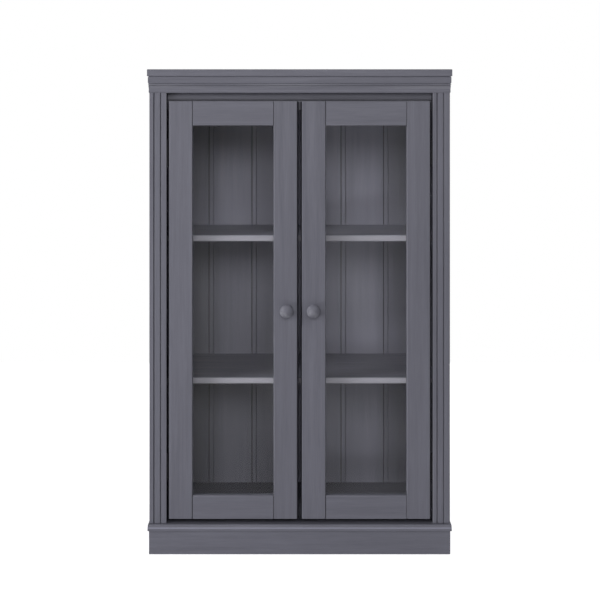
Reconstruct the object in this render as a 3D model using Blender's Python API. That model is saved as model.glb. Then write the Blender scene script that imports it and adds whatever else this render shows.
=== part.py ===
"""Tall two-door display cabinet in painted wood: plinth, carcass, boarded back, crown and glazed doors.

Units are metres. X runs across the cabinet, Z is up, and the doors face -Y. Depths named "depth" are
measured backwards from the face of the corner posts, which the closed doors are flush with.
"""

import math

import bmesh
import bpy
from mathutils import Matrix

# Overall sizes
BODY_WIDTH = 0.870
BODY_DEPTH = 0.375
TOTAL_HEIGHT = 1.400

# Clearances
SEAT_GAP = 0.0003
SHELF_PLAY = 0.0009
SCREW_PLAY = 0.0003
GLASS_PLAY = 0.001
KNUCKLE_PLAY = 0.0003
PIN_PLAY = 0.0002
CATCH_AIR = 0.0006
MEETING_GAP = 0.007
DOOR_BACK_GAP = 0.002
DOOR_FOOT_GAP = 0.0123
DOOR_HEAD_GAP = 0.0245

# Plinth, base board and top
PLINTH_HEIGHT = 0.068
PLINTH_THICKNESS = 0.020
PLINTH_BACK_SETBACK = 0.030
PLINTH_FORWARD = 0.008
BASE_THICKNESS = 0.019
BASE_OVERHANG = 0.0035
BASE_NOSE_RUN = 0.0075
BASE_NOSE_DROP = 0.012
BASE_END_RUN = 0.001
FLOOR_SINK = 0.008
CROWN_HEIGHT = 0.048
CROWN_THICKNESS = 0.024
CROWN_BACK_THICKNESS = 0.020
CORNICE_THICKNESS = 0.020
CORNICE_OVERHANG = 0.006
CORNICE_ROUND = 0.002

# Carcass
SIDE_THICKNESS = 0.018
TOP_PANEL_THICKNESS = 0.018
HEADER_OVERLAP = 0.0245
HEADER_THICKNESS = 0.018
HEADER_GROOVE = 0.005
HEADER_GROOVE_DEPTH = 0.006
POST_WIDTH = 0.050
POST_EDGE = 0.0015
LEFT_REEDS = (0.0136, 0.0326)
RIGHT_REEDS = (0.0127, 0.0317)
REED_WIDTH = 0.0036
REED_DEPTH = 0.0055

# Boarded back
BOARD_JOINTS = (-0.2794, -0.1401, 0.0044, 0.1489, 0.2872)
BOARD_THICKNESS = 0.010
BOARD_LAP = 0.010
BOARD_EDGE = 0.0014
BOARD_EDGE_DEPTH = 0.0028
BEAD_WIDTH = 0.0145
QUIRK_WIDTH = 0.0026
QUIRK_DEPTH = 0.0045
TONGUE_LENGTH = 0.005
TONGUE_THICKNESS = 0.003

# Shelves and the cleats that carry them
SHELF_THICKNESS = 0.018
LOWER_SHELF_TOP = 0.497
UPPER_SHELF_TOP = 0.915
SHELF_SETBACK = 0.048
SHELF_EDGE = 0.0015
CLEAT_HEIGHT = 0.022
CLEAT_THICKNESS = 0.016
CLEAT_SETBACK = 0.025
CLEAT_EDGE = 0.004

# Doors
DOOR_THICKNESS = 0.020
HINGE_STILE_WIDTH = 0.070
LOCK_STILE_WIDTH = 0.072
BOTTOM_RAIL_WIDTH = 0.068
TOP_RAIL_WIDTH = 0.0706
SIGHT_CHAMFER = 0.002
MEETING_CHAMFER = 0.005
MEETING_CHAMFER_DEPTH = 0.009
BACK_CHAMFER = 0.0015
GLASS_THICKNESS = 0.004
GLASS_SETBACK = 0.008
GROOVE_DEPTH = 0.010

# Hinges
HINGE_HEIGHT = 0.075
HINGE_END_DISTANCE = 0.150
HINGE_SETBACK = 0.004
LEAF_THICKNESS = 0.001
LEAF_WIDTH = 0.013
HINGE_PIN_RADIUS = 0.001
HINGE_PIN_HEAD = 0.0014
HINGE_HOLE_RADIUS = 0.0017
DOOR_LEAF_HOLES = 0.029
FRAME_LEAF_HOLES = 0.018

# Knobs and catches
KNOB_RADIUS = 0.020
LEFT_KNOB_INSET = 0.0338
RIGHT_KNOB_INSET = 0.0368
KNOB_PROJECTION = 0.032
KNOB_FOOT_RADIUS = 0.0105
KNOB_NECK_RADIUS = 0.008
KNOB_SCREW_RADIUS = 0.002
KNOB_SCREW_GRIP = 0.014
KNOB_SCREW_HEAD = 0.004
KNOB_SCREW_HEAD_HEIGHT = 0.0024
CATCH_RADIUS = 0.006
MAGNET_LENGTH = 0.006
STRIKE_THICKNESS = 0.002

# Facets on round pieces
KNOB_SIDES = 32
DISC_SIDES = 24
PIN_SIDES = 12
KNUCKLE_STEPS = 14

# Levels and planes that follow from the sizes above
face_y = (KNOB_PROJECTION - BODY_DEPTH) / 2
half_body = BODY_WIDTH / 2
half_inside = half_body - SIDE_THICKNESS
half_opening = half_body - POST_WIDTH
base_top = PLINTH_HEIGHT + BASE_THICKNESS
crown_top = TOTAL_HEIGHT - CORNICE_THICKNESS
crown_foot = crown_top - CROWN_HEIGHT
post_thickness = DOOR_THICKNESS + DOOR_BACK_GAP
header_back = post_thickness + HEADER_THICKNESS
board_face = BODY_DEPTH - BOARD_THICKNESS
half_back = half_inside + BOARD_LAP
knuckle_bore = HINGE_PIN_RADIUS + PIN_PLAY
knuckle_radius = knuckle_bore + LEAF_THICKNESS
side_gap = 2 * (knuckle_radius + KNUCKLE_PLAY)
door_width = half_opening - side_gap - MEETING_GAP / 2
door_foot = base_top + DOOR_FOOT_GAP
door_head = crown_foot - DOOR_HEAD_GAP
door_middle = (door_foot + door_head) / 2
low_sight = door_foot + BOTTOM_RAIL_WIDTH
high_sight = door_head - TOP_RAIL_WIDTH
header_foot = door_head - HEADER_OVERLAP
groove_span = (GLASS_SETBACK - SEAT_GAP, GLASS_SETBACK + GLASS_THICKNESS + SEAT_GAP)
mitre_ease = SEAT_GAP / math.sqrt(2)
catch_level = (header_foot + door_head) / 2
catch_across = door_width - LOCK_STILE_WIDTH / 2
through = 0.010

# Plain finishes: colour, roughness, metallic and clearness
FINISHES = {
    "paint": ((0.145, 0.145, 0.178), 0.55, 0.0, 0.0),
    "inside": ((0.140, 0.140, 0.170), 0.60, 0.0, 0.0),
    "shelf": ((0.170, 0.170, 0.200), 0.55, 0.0, 0.0),
    "glass": ((0.900, 0.930, 0.930), 0.03, 0.0, 0.95),
    "dark_steel": ((0.030, 0.030, 0.033), 0.40, 1.0, 0.0),
    "steel": ((0.500, 0.500, 0.510), 0.30, 1.0, 0.0),
}


def clear_objects():
    for old in list(bpy.data.objects):
        bpy.data.objects.remove(old, do_unlink=True)


def new_finish(name, colour, roughness, metallic, clearness):
    surface = bpy.data.materials.new(name)
    surface.use_nodes = True
    shader = surface.node_tree.nodes["Principled BSDF"]
    shader.inputs["Base Color"].default_value = (*colour, 1.0)
    shader.inputs["Roughness"].default_value = roughness
    shader.inputs["Metallic"].default_value = metallic
    shader.inputs["Transmission Weight"].default_value = clearness
    return surface


def loft(bm, rings):
    """A closed solid through rings with the same number of points."""
    layers = [[bm.verts.new(point) for point in ring] for ring in rings]
    count = len(layers[0])
    for lower, upper in zip(layers, layers[1:]):
        for i in range(count):
            j = (i + 1) % count
            bm.faces.new((lower[i], lower[j], upper[j], upper[i]))
    bm.faces.new(layers[0][::-1])
    bm.faces.new(layers[-1])


def add_upright(bm, outline, low, high):
    """A prism that stands on a plan outline of (x, depth) points."""
    loft(bm, [[(x, face_y + d, z) for x, d in outline] for z in (low, high)])


def add_level(bm, section, start, end):
    """A prism that lies across the cabinet on a section of (depth, height) points."""
    loft(bm, [[(x, face_y + d, z) for d, z in section] for x in (start, end)])


def add_block(bm, x_span, depth_span, z_span):
    """A plain rectangular block."""
    (x0, x1), (d0, d1) = sorted(x_span), sorted(depth_span)
    add_upright(bm, [(x0, d0), (x1, d0), (x1, d1), (x0, d1)], *sorted(z_span))


def circle(radius, sides):
    turn = 2 * math.pi / sides
    return [(radius * math.cos(turn * i), radius * math.sin(turn * i)) for i in range(sides)]


def add_turned(bm, profile, centre, axis, sides):
    """A turned solid: profile pairs are (distance along the axis, radius)."""
    x, depth, z = centre
    rings = []
    for along, radius in profile:
        ring = circle(radius, sides)
        if axis == "X":
            rings.append([(x + along, face_y + depth + a, z + b) for a, b in ring])
        elif axis == "Y":
            rings.append([(x + a, face_y + depth + along, z + b) for a, b in ring])
        else:
            rings.append([(x + a, face_y + depth + b, z + along) for a, b in ring])
    loft(bm, rings)


def add_edged_board(bm, half_width, front, levels, end_share, notch):
    """A board whose front follows (height, inset) levels; its ends take a share of the inset."""
    rings = []
    for z, inset in levels:
        w, d = half_width - inset * end_share, front + inset
        ring = [(-w, d), (w, d), (w, BODY_DEPTH)]
        if notch:
            half_notch, notch_face = notch
            ring += [(half_notch, BODY_DEPTH), (half_notch, notch_face)]
            ring += [(-half_notch, notch_face), (-half_notch, BODY_DEPTH)]
        ring.append((-w, BODY_DEPTH))
        rings.append([(x, face_y + y, z) for x, y in ring])
    loft(bm, rings)


def add_front_run(bm, section, forward):
    """A length across the front with both ends mitred; section points are (projection, height)."""
    front = face_y - forward
    rings = []
    for side in (-1, 1):
        rings.append([(side * (half_body + p - mitre_ease), front - p, z) for p, z in section])
    loft(bm, rings)


def add_side_run(bm, section, forward, side):
    """A length along one side, mitred at the front and square at the back."""
    start = face_y - forward + mitre_ease
    front = [(side * (half_body + p), start - p, z) for p, z in section]
    back = [(side * (half_body + p), face_y + BODY_DEPTH, z) for p, z in section]
    loft(bm, [front, back])


def make_object(name, bm, surface):
    """Puts a solid into the scene with its faces out."""
    bmesh.ops.recalc_face_normals(bm, faces=bm.faces[:])
    mesh = bpy.data.meshes.new(name)
    bm.to_mesh(mesh)
    bm.free()
    node = bpy.data.objects.new(name, mesh)
    bpy.context.scene.collection.objects.link(node)
    if surface:
        mesh.materials.append(new_finish(name + "_finish", *FINISHES[surface]))
        shade(mesh)
    return node


def shade(mesh):
    """Curved sides are shaded smooth and corners stay sharp."""
    for polygon in mesh.polygons:
        polygon.use_smooth = True
    mesh.set_sharp_from_angle(angle=math.radians(32))


def solid(name, surface, add, *sizes):
    """A node made of one solid."""
    bm = bmesh.new()
    add(bm, *sizes)
    return make_object(name, bm, surface)


def carve(node, cutter_bm):
    """Takes the cutter's solids out of a node."""
    cutter = make_object("cutter", cutter_bm, None)
    modifier = node.modifiers.new("cut", "BOOLEAN")
    modifier.operation = "DIFFERENCE"
    modifier.solver = "EXACT"
    modifier.object = cutter
    graph = bpy.context.evaluated_depsgraph_get()
    graph.update()
    cut_mesh = bpy.data.meshes.new_from_object(node.evaluated_get(graph))
    node.modifiers.clear()
    node.data = cut_mesh
    bpy.data.objects.remove(cutter, do_unlink=True)
    shade(cut_mesh)


def eased_edge(run, drop, steps):
    """Points of a rounded edge: how far in from the nose, and how far below the top."""
    turns = [math.pi / 2 * i / steps for i in range(steps + 1)]
    return [(run * (1 - math.cos(a)), drop * (1 - math.sin(a))) for a in turns]


def build_plinth():
    top = PLINTH_HEIGHT - SEAT_GAP
    section = [(0.0, 0.0), (0.0, top), (-PLINTH_THICKNESS, top), (-PLINTH_THICKNESS, 0.0)]
    solid("plinth_front", "paint", add_front_run, section, PLINTH_FORWARD)
    solid("plinth_left", "paint", add_side_run, section, PLINTH_FORWARD, -1)
    solid("plinth_right", "paint", add_side_run, section, PLINTH_FORWARD, 1)
    half_clear = half_body - PLINTH_THICKNESS - SEAT_GAP
    back = BODY_DEPTH - PLINTH_BACK_SETBACK
    depths = (back - PLINTH_THICKNESS, back)
    solid("plinth_back", "paint", add_block, (-half_clear, half_clear), depths, (0.0, top))


def build_base_board():
    """The floor of the cabinet, sunk behind the doors; its rounded nose shows above the plinth."""
    top = base_top - SEAT_GAP
    nose = eased_edge(BASE_NOSE_RUN, BASE_NOSE_DROP, 6)
    levels = [(PLINTH_HEIGHT, 0.0)] + [(top - drop, inset) for inset, drop in nose]
    notch = (half_back, board_face - SEAT_GAP)
    half_width = half_body + BASE_OVERHANG
    front = -PLINTH_FORWARD - BASE_OVERHANG
    end_share = BASE_END_RUN / BASE_NOSE_RUN
    board = solid("base_board", "paint", add_edged_board, half_width, front, levels, end_share, notch)
    sink = bmesh.new()
    add_block(sink, (-half_inside, half_inside), (post_thickness, board_face), (top - FLOOR_SINK, top + through))
    carve(board, sink)


def build_sides():
    """The side panels, rebated behind for the boards of the back."""
    front = post_thickness + SEAT_GAP
    rebate = board_face - SEAT_GAP
    for label, side in (("left", -1), ("right", 1)):
        outline = [
            (side * half_body, front),
            (side * half_inside, front),
            (side * half_inside, rebate),
            (side * half_back, rebate),
            (side * half_back, BODY_DEPTH),
            (side * half_body, BODY_DEPTH),
        ]
        name = "side_panel_" + label
        solid(name, "paint", add_upright, outline, base_top, crown_foot - SEAT_GAP)


def build_top():
    """The panel over the inside, and the header rail with a shadow groove above the doors."""
    half_panel = half_inside - SEAT_GAP
    across = (-half_panel, half_panel)
    top = crown_foot - SEAT_GAP
    depths = (header_back + SEAT_GAP, board_face - SEAT_GAP)
    solid("top_panel", "inside", add_block, across, depths, (crown_foot - TOP_PANEL_THICKNESS, top))
    depths = (post_thickness, header_back)
    header = solid("header_rail", "paint", add_block, across, depths, (header_foot, top))
    seats = bmesh.new()
    depths = (post_thickness - through, post_thickness + HEADER_GROOVE_DEPTH)
    add_block(seats, (-half_inside, half_inside), depths, (door_head, door_head + HEADER_GROOVE))
    front = DOOR_THICKNESS + SEAT_GAP + CATCH_AIR
    radius = CATCH_RADIUS + SEAT_GAP
    for label, side in (("left", -1), ("right", 1)):
        centre = (door_x(side, catch_across), front, catch_level)
        add_turned(seats, [(-through, radius), (MAGNET_LENGTH + SEAT_GAP, radius)], centre, "Y", DISC_SIDES)
        disc = [(0.0, CATCH_RADIUS), (MAGNET_LENGTH, CATCH_RADIUS)]
        solid(label + "_magnet", "steel", add_turned, disc, centre, "Y", DISC_SIDES)
    carve(header, seats)


def build_posts():
    """The corner posts, each with two reeds cut down its face."""
    posts = (("left", -half_body, LEFT_REEDS), ("right", half_opening, RIGHT_REEDS))
    for label, left_edge, reeds in posts:
        right_edge = left_edge + POST_WIDTH
        outline = [(left_edge, post_thickness), (left_edge, POST_EDGE), (left_edge + POST_EDGE, 0.0)]
        for offset in reeds:
            middle = left_edge + offset
            outline.append((middle - REED_WIDTH / 2, 0.0))
            outline.append((middle - REED_WIDTH / 4, REED_DEPTH))
            outline.append((middle + REED_WIDTH / 4, REED_DEPTH))
            outline.append((middle + REED_WIDTH / 2, 0.0))
        outline += [(right_edge - POST_EDGE, 0.0), (right_edge, POST_EDGE), (right_edge, post_thickness)]
        name = "pilaster_" + label
        solid(name, "paint", add_upright, outline, base_top, crown_foot - SEAT_GAP)


def board_edges():
    """The joints of the back, and its two outer edges in the side panels' rebates."""
    return [SEAT_GAP - half_back, *BOARD_JOINTS, half_back - SEAT_GAP]


def build_back():
    """Upright boards, tongued and grooved together, with a bead beside each joint."""
    edges = board_edges()
    middle = board_face + BOARD_THICKNESS / 2
    tongue = (middle - TONGUE_THICKNESS / 2, middle + TONGUE_THICKNESS / 2)
    groove = (tongue[0] - SEAT_GAP, tongue[1] + SEAT_GAP)
    count = len(edges) - 1
    for i in range(count):
        left, right = edges[i], edges[i + 1]
        has_groove, has_tongue = i > 0, i < count - 1
        if has_groove:
            left += SEAT_GAP
        outline = [(left, BODY_DEPTH)]
        if has_groove:
            bottom = left + TONGUE_LENGTH
            outline += [(left, groove[1]), (bottom, groove[1]), (bottom, groove[0]), (left, groove[0])]
        outline += [(left, board_face + BOARD_EDGE_DEPTH), (left + BOARD_EDGE, board_face)]
        if has_tongue:
            quirk = right - BEAD_WIDTH
            outline.append((quirk - QUIRK_WIDTH / 2, board_face))
            outline.append((quirk - QUIRK_WIDTH / 3, board_face + QUIRK_DEPTH))
            outline.append((quirk + QUIRK_WIDTH / 3, board_face + QUIRK_DEPTH))
            outline.append((quirk + QUIRK_WIDTH / 2, board_face))
        outline += [(right - BOARD_EDGE, board_face), (right, board_face + BOARD_EDGE_DEPTH)]
        if has_tongue:
            tip = right + TONGUE_LENGTH
            outline += [(right, tongue[0]), (tip, tongue[0]), (tip, tongue[1]), (right, tongue[1])]
        outline.append((right, BODY_DEPTH))
        name = "back_board_" + str(i + 1)
        solid(name, "inside", add_upright, outline, PLINTH_HEIGHT, crown_foot - SEAT_GAP)


def build_shelves():
    """Two shelves with eased front edges, each on a pair of cleats fixed to the sides."""
    half_shelf = half_inside - SHELF_PLAY
    back = board_face - SHELF_PLAY
    ease = eased_edge(SHELF_EDGE, SHELF_EDGE, 3)
    for label, top in (("lower", LOWER_SHELF_TOP), ("upper", UPPER_SHELF_TOP)):
        foot = top - SHELF_THICKNESS
        section = [(SHELF_SETBACK + run, top - drop) for run, drop in reversed(ease)]
        section += [(SHELF_SETBACK + run, foot + drop) for run, drop in ease]
        section += [(back, foot), (back, top)]
        solid("shelf_" + label, "shelf", add_level, section, -half_shelf, half_shelf)
        head = foot - SEAT_GAP
        start = SHELF_SETBACK + CLEAT_SETBACK
        for side_label, side in (("left", -1), ("right", 1)):
            outer = side * (half_inside - SEAT_GAP)
            inner = side * (half_inside - SEAT_GAP - CLEAT_THICKNESS)
            outline = [
                (outer, start),
                (inner + side * CLEAT_EDGE, start),
                (inner, start + CLEAT_EDGE),
                (inner, back),
                (outer, back),
            ]
            name = label + "_cleat_" + side_label
            solid(name, "inside", add_upright, outline, head - CLEAT_HEIGHT, head)


def crown_section():
    """The crown from foot to top: fillet, hollow, bead between two quirks, flat band and a top quirk."""
    height = CROWN_HEIGHT - SEAT_GAP
    outer = [
        (0.0010, 0.0),
        (0.0010, 0.03),
        (0.0018, 0.05),
        (0.0018, 0.11),
        (0.0015, 0.15),
        (0.0015, 0.22),
        (0.0018, 0.31),
        (0.0023, 0.375),
        (0.0026, 0.400),
        (0.0026, 0.415),
        (0.0008, 0.420),
        (0.0008, 0.440),
        (0.0022, 0.446),
        (0.0030, 0.462),
        (0.0032, 0.490),
        (0.0030, 0.516),
        (0.0022, 0.532),
        (0.0010, 0.538),
        (0.0010, 0.560),
        (0.0032, 0.566),
        (0.0036, 0.62),
        (0.0039, 0.70),
        (0.0039, 0.945),
        (0.0022, 0.960),
        (0.0022, 1.0),
    ]
    points = [(projection, crown_foot + share * height) for projection, share in outer]
    return points + [(-CROWN_THICKNESS, crown_foot + height), (-CROWN_THICKNESS, crown_foot)]


def build_crown():
    section = crown_section()
    solid("crown_front", "paint", add_front_run, section, 0.0)
    solid("crown_left", "paint", add_side_run, section, 0.0, -1)
    solid("crown_right", "paint", add_side_run, section, 0.0, 1)
    half_clear = half_body - CROWN_THICKNESS - SEAT_GAP
    depths = (BODY_DEPTH - CROWN_BACK_THICKNESS, BODY_DEPTH)
    height = (crown_foot, crown_top - SEAT_GAP)
    solid("crown_back", "inside", add_block, (-half_clear, half_clear), depths, height)
    nose = eased_edge(CORNICE_ROUND, CORNICE_ROUND, 5)
    levels = [(crown_top, 0.0)] + [(TOTAL_HEIGHT - drop, inset) for inset, drop in nose]
    half_width = half_body + CORNICE_OVERHANG
    solid("cornice_board", "paint", add_edged_board, half_width, -CORNICE_OVERHANG, levels, 1.0, None)


def door_x(side, across):
    """World x of a point that lies this far across a door, from its hinge edge."""
    return side * (half_opening - side_gap - across)


def hinge_x(side):
    """The pin stands in the middle of the gap beside a door."""
    return side * (half_opening - side_gap / 2)


def hinge_levels():
    return {"lower": door_foot + HINGE_END_DISTANCE, "upper": door_head - HINGE_END_DISTANCE}


def stile_outline(side, is_lock):
    """Plan of a stile: the outer front edge is cut back so that the door can swing."""
    inner = LOCK_STILE_WIDTH if is_lock else HINGE_STILE_WIDTH
    across = MEETING_CHAMFER if is_lock else HINGE_SETBACK
    depth = MEETING_CHAMFER_DEPTH if is_lock else HINGE_SETBACK
    outline = [
        (across, 0.0),
        (inner - SIGHT_CHAMFER, 0.0),
        (inner, SIGHT_CHAMFER),
        (inner, groove_span[0]),
        (inner - GROOVE_DEPTH, groove_span[0]),
        (inner - GROOVE_DEPTH, groove_span[1]),
        (inner, groove_span[1]),
        (inner, DOOR_THICKNESS - BACK_CHAMFER),
        (inner - BACK_CHAMFER, DOOR_THICKNESS),
        (0.0, DOOR_THICKNESS),
        (0.0, depth),
    ]
    return [(door_x(side, door_width - a if is_lock else a), d) for a, d in outline]


def rail_outline(side):
    """Plan of a rail: it stops at the stiles, and a stub tenon at each end fills their grooves."""
    front, back = groove_span[0] + SEAT_GAP, groove_span[1] - SEAT_GAP
    ends = []
    for stile in (HINGE_STILE_WIDTH, LOCK_STILE_WIDTH):
        shoulder = stile + SEAT_GAP
        tip = shoulder - GROOVE_DEPTH
        end = [(shoulder, 0.0), (shoulder, front), (tip, front)]
        ends.append(end + [(tip, back), (shoulder, back), (shoulder, DOOR_THICKNESS)])
    other = [(door_width - a, d) for a, d in reversed(ends[1])]
    return [(door_x(side, a), d) for a, d in ends[0] + other]


def rail_cutter(side, sight, outwards):
    """Cuts the groove for the glass and the chamfers into the edge of a rail that faces the glass."""
    cutter = bmesh.new()
    ends = (door_x(side, -through), door_x(side, door_width + through))
    beyond = sight + outwards * through
    add_block(cutter, ends, groove_span, (beyond, sight - outwards * GROOVE_DEPTH))
    reach = SIGHT_CHAMFER + through
    front = [(-through, sight - outwards * reach), (reach, beyond), (-through, beyond)]
    add_level(cutter, [(d, z) for d, z in front], *ends)
    reach = BACK_CHAMFER + through
    rear = DOOR_THICKNESS + through
    back = [(rear, sight - outwards * reach), (DOOR_THICKNESS - reach, beyond), (rear, beyond)]
    add_level(cutter, back, *ends)
    return cutter


def build_rails(label, side):
    nodes = []
    rails = (
        ("bottom_rail", door_foot, low_sight, low_sight, 1),
        ("top_rail", high_sight, door_head, high_sight, -1),
    )
    for name, low, high, sight, outwards in rails:
        rail = solid(label + "_" + name, "paint", add_upright, rail_outline(side), low, high)
        carve(rail, rail_cutter(side, sight, outwards))
        nodes.append(rail)
    return nodes


def build_stiles(label, side):
    outline = stile_outline(side, False)
    hinge_stile = solid(label + "_hinge_stile", "paint", add_upright, outline, door_foot, door_head)
    outline = stile_outline(side, True)
    lock_stile = solid(label + "_lock_stile", "paint", add_upright, outline, door_foot, door_head)
    bores = bmesh.new()
    radius = KNOB_SCREW_RADIUS + SCREW_PLAY
    hole = [(-through, radius), (DOOR_THICKNESS + through, radius)]
    add_turned(bores, hole, (knob_x(side), 0.0, door_middle), "Y", PIN_SIDES)
    radius = CATCH_RADIUS + SEAT_GAP
    seat = [(-STRIKE_THICKNESS, radius), (through, radius)]
    centre = (door_x(side, catch_across), DOOR_THICKNESS, catch_level)
    add_turned(bores, seat, centre, "Y", DISC_SIDES)
    carve(lock_stile, bores)
    disc = [(SEAT_GAP - STRIKE_THICKNESS, CATCH_RADIUS), (SEAT_GAP, CATCH_RADIUS)]
    strike = solid(label + "_strike", "steel", add_turned, disc, centre, "Y", DISC_SIDES)
    return [hinge_stile, lock_stile, strike]


def build_glass(label, side):
    lap = GROOVE_DEPTH - GLASS_PLAY
    across = (door_x(side, HINGE_STILE_WIDTH - lap), door_x(side, door_width - LOCK_STILE_WIDTH + lap))
    depths = (GLASS_SETBACK, GLASS_SETBACK + GLASS_THICKNESS)
    return solid(label + "_glass", "glass", add_block, across, depths, (low_sight - lap, high_sight + lap))


def knob_x(side):
    return door_x(side, door_width - (LEFT_KNOB_INSET if side < 0 else RIGHT_KNOB_INSET))


def build_knob(label, side):
    """A turned mushroom knob, and the screw that holds it from behind."""
    bore = KNOB_SCREW_RADIUS + SCREW_PLAY
    reach = KNOB_PROJECTION
    neck = KNOB_NECK_RADIUS
    flare = KNOB_RADIUS - neck
    profile = [
        (-SEAT_GAP - KNOB_SCREW_GRIP - SCREW_PLAY, bore),
        (-SEAT_GAP, bore),
        (-SEAT_GAP, KNOB_FOOT_RADIUS),
        (-reach * 0.10, KNOB_FOOT_RADIUS),
        (-reach * 0.18, neck + (KNOB_FOOT_RADIUS - neck) * 0.3),
        (-reach * 0.32, neck),
        (-reach * 0.46, neck + flare * 0.18),
        (-reach * 0.56, neck + flare * 0.55),
        (-reach * 0.63, neck + flare * 0.90),
        (-reach * 0.68, neck + flare * 0.985),
        (-reach * 0.74, KNOB_RADIUS),
        (-reach * 0.80, neck + flare * 0.95),
        (-reach * 0.86, neck + flare * 0.79),
        (-reach * 0.93, KNOB_RADIUS * 0.66),
        (-reach * 0.975, KNOB_RADIUS * 0.42),
        (-reach * 0.995, KNOB_RADIUS * 0.20),
        (-reach, KNOB_RADIUS * 0.06),
    ]
    centre = (knob_x(side), 0.0, door_middle)
    knob = solid(label + "_knob", "paint", add_turned, profile, centre, "Y", KNOB_SIDES)
    seat = DOOR_THICKNESS + SEAT_GAP
    head = KNOB_SCREW_HEAD_HEIGHT
    screw_profile = [
        (-SEAT_GAP - KNOB_SCREW_GRIP, KNOB_SCREW_RADIUS),
        (seat, KNOB_SCREW_RADIUS),
        (seat, KNOB_SCREW_HEAD),
        (seat + head * 0.5, KNOB_SCREW_HEAD * 0.9),
        (seat + head, KNOB_SCREW_HEAD * 0.55),
    ]
    screw = solid(label + "_knob_screw", "steel", add_turned, screw_profile, centre, "Y", PIN_SIDES)
    return [knob, screw]


def leaf_outline(side, hand):
    """Plan of a rolled leaf: a flat that runs back beside the wood, and a curl round the pin."""
    turns = [-1.52 * math.pi * i / KNUCKLE_STEPS for i in range(KNUCKLE_STEPS + 1)]
    outer = [(knuckle_radius * math.cos(a), knuckle_radius * math.sin(a)) for a in turns]
    inner = [(knuckle_bore * math.cos(a), knuckle_bore * math.sin(a)) for a in reversed(turns)]
    curl = [(knuckle_radius, LEAF_WIDTH)] + outer + inner + [(knuckle_bore, LEAF_WIDTH)]
    return [(hinge_x(side) + hand * a, HINGE_SETBACK + d) for a, d in curl]


def build_leaf(name, side, is_frame, level):
    """One leaf: the frame's has the outer two knuckles, and the door's the middle one."""
    hand = side if is_frame else -side
    low, high = level - HINGE_HEIGHT / 2, level + HINGE_HEIGHT / 2
    leaf = solid(name, "dark_steel", add_upright, leaf_outline(side, hand), low, high)
    x = hinge_x(side)
    reach = knuckle_radius + KNUCKLE_PLAY
    across = (x - hand * through, x + hand * through)
    depths = (HINGE_SETBACK - through, HINGE_SETBACK + reach)
    sixth = HINGE_HEIGHT / 6
    cutter = bmesh.new()
    if is_frame:
        add_block(cutter, across, depths, (level - sixth - SEAT_GAP, level + sixth + SEAT_GAP))
    else:
        add_block(cutter, across, depths, (low - through, level - sixth + SEAT_GAP))
        add_block(cutter, across, depths, (level + sixth - SEAT_GAP, high + through))
    spread = FRAME_LEAF_HOLES if is_frame else DOOR_LEAF_HOLES
    depth = HINGE_SETBACK + (reach + LEAF_WIDTH) / 2
    hole = [(-through, HINGE_HOLE_RADIUS), (through, HINGE_HOLE_RADIUS)]
    for step in (-1, 1):
        add_turned(cutter, hole, (x, depth, level + step * spread), "X", PIN_SIDES)
    carve(leaf, cutter)
    return leaf


def build_hinge_pin(name, side, level):
    half = HINGE_HEIGHT / 2 + SEAT_GAP
    tip = half + HINGE_PIN_HEAD
    rim = half + HINGE_PIN_HEAD * 0.6
    profile = [
        (-tip, knuckle_radius * 0.6),
        (-rim, knuckle_radius * 0.95),
        (-half, knuckle_radius * 0.95),
        (-half, HINGE_PIN_RADIUS),
        (half, HINGE_PIN_RADIUS),
        (half, knuckle_radius * 0.95),
        (rim, knuckle_radius * 0.95),
        (tip, knuckle_radius * 0.6),
    ]
    centre = (hinge_x(side), HINGE_SETBACK, level)
    solid(name, "dark_steel", add_turned, profile, centre, "Z", PIN_SIDES)


def build_door(label, side):
    """One door with its hinges; what swings hangs from an axis on the hinge pins."""
    nodes = build_rails(label, side) + build_stiles(label, side)
    nodes.append(build_glass(label, side))
    nodes += build_knob(label, side)
    for place, level in hinge_levels().items():
        start = label + "_" + place + "_hinge_"
        nodes.append(build_leaf(start + "door_leaf", side, False, level))
        build_leaf(start + "frame_leaf", side, True, level)
        build_hinge_pin(start + "pin", side, level)
    axis = bpy.data.objects.new(label + "_door_axis", None)
    axis.location = (hinge_x(side), face_y + HINGE_SETBACK, 0.0)
    bpy.context.scene.collection.objects.link(axis)
    for node in nodes:
        node.parent = axis
        node.matrix_parent_inverse = Matrix.Translation(axis.location).inverted()


def main():
    clear_objects()
    build_plinth()
    build_base_board()
    build_sides()
    build_top()
    build_posts()
    build_back()
    build_shelves()
    build_crown()
    build_door("left", -1)
    build_door("right", 1)


main()
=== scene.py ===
# %% [markdown]
# # A painted display cabinet
# The cabinet is a tall case with a boarded back, two shelves, a moulded crown and two glazed doors. The packed
# model gives every piece its place and its hinge. This lesson dresses it: each board gets its real edges, grain
# and paint, and the small fittings that show when a door stands open are added.

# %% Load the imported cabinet
import math

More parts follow.
